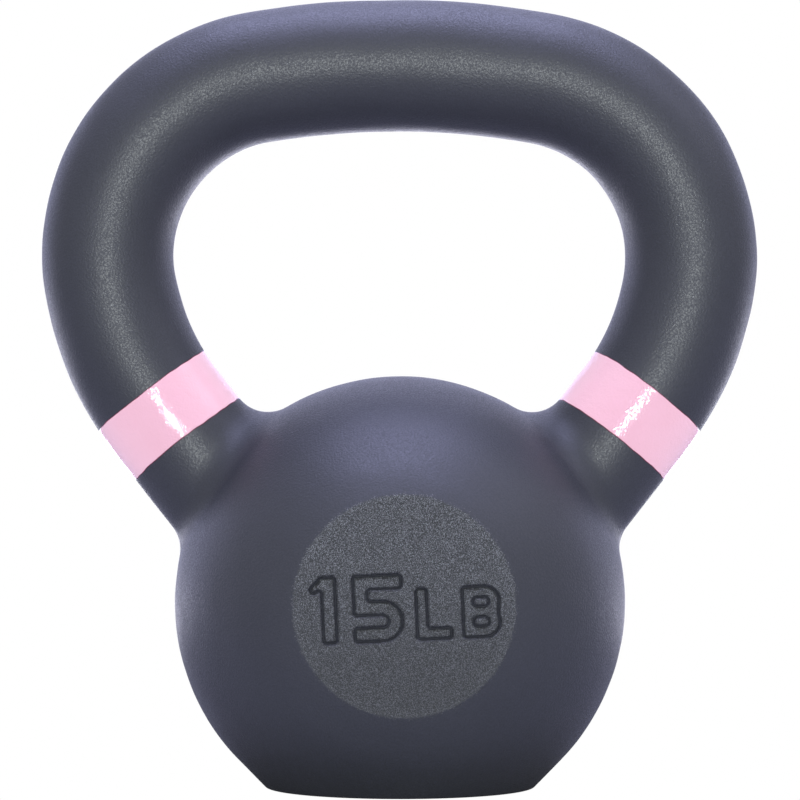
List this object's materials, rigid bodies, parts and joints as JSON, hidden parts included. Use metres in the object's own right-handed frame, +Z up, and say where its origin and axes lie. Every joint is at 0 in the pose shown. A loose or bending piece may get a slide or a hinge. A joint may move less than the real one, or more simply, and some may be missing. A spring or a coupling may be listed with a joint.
{
  "type": "kettlebell",
  "caption": "Cast-iron kettlebell: a ball with a flat base and a flat weight face, a round looped handle, and painted colour bands on the horns.",
  "frame": {"origin": "centre of the flat base", "axes": "+Z up through the handle, +X along the grip, -Y out of the flat weight face"},
  "size_m": [0.1766, 0.1042, 0.1939],
  "materials": {
    "powder_coat_iron": "matte near-black powder coat with a fine orange-peel grain",
    "weight_face_iron": "matte dark grey powder coat over a sandy cast face",
    "band_paint": "gloss pink brushed enamel"
  },
  "bodies": {
    "root": {"bell": "powder_coat_iron", "handle": "powder_coat_iron", "weight_disc": "weight_face_iron", "colour_band_left": "band_paint", "colour_band_right": "band_paint"}
  },
  "joints": []
}
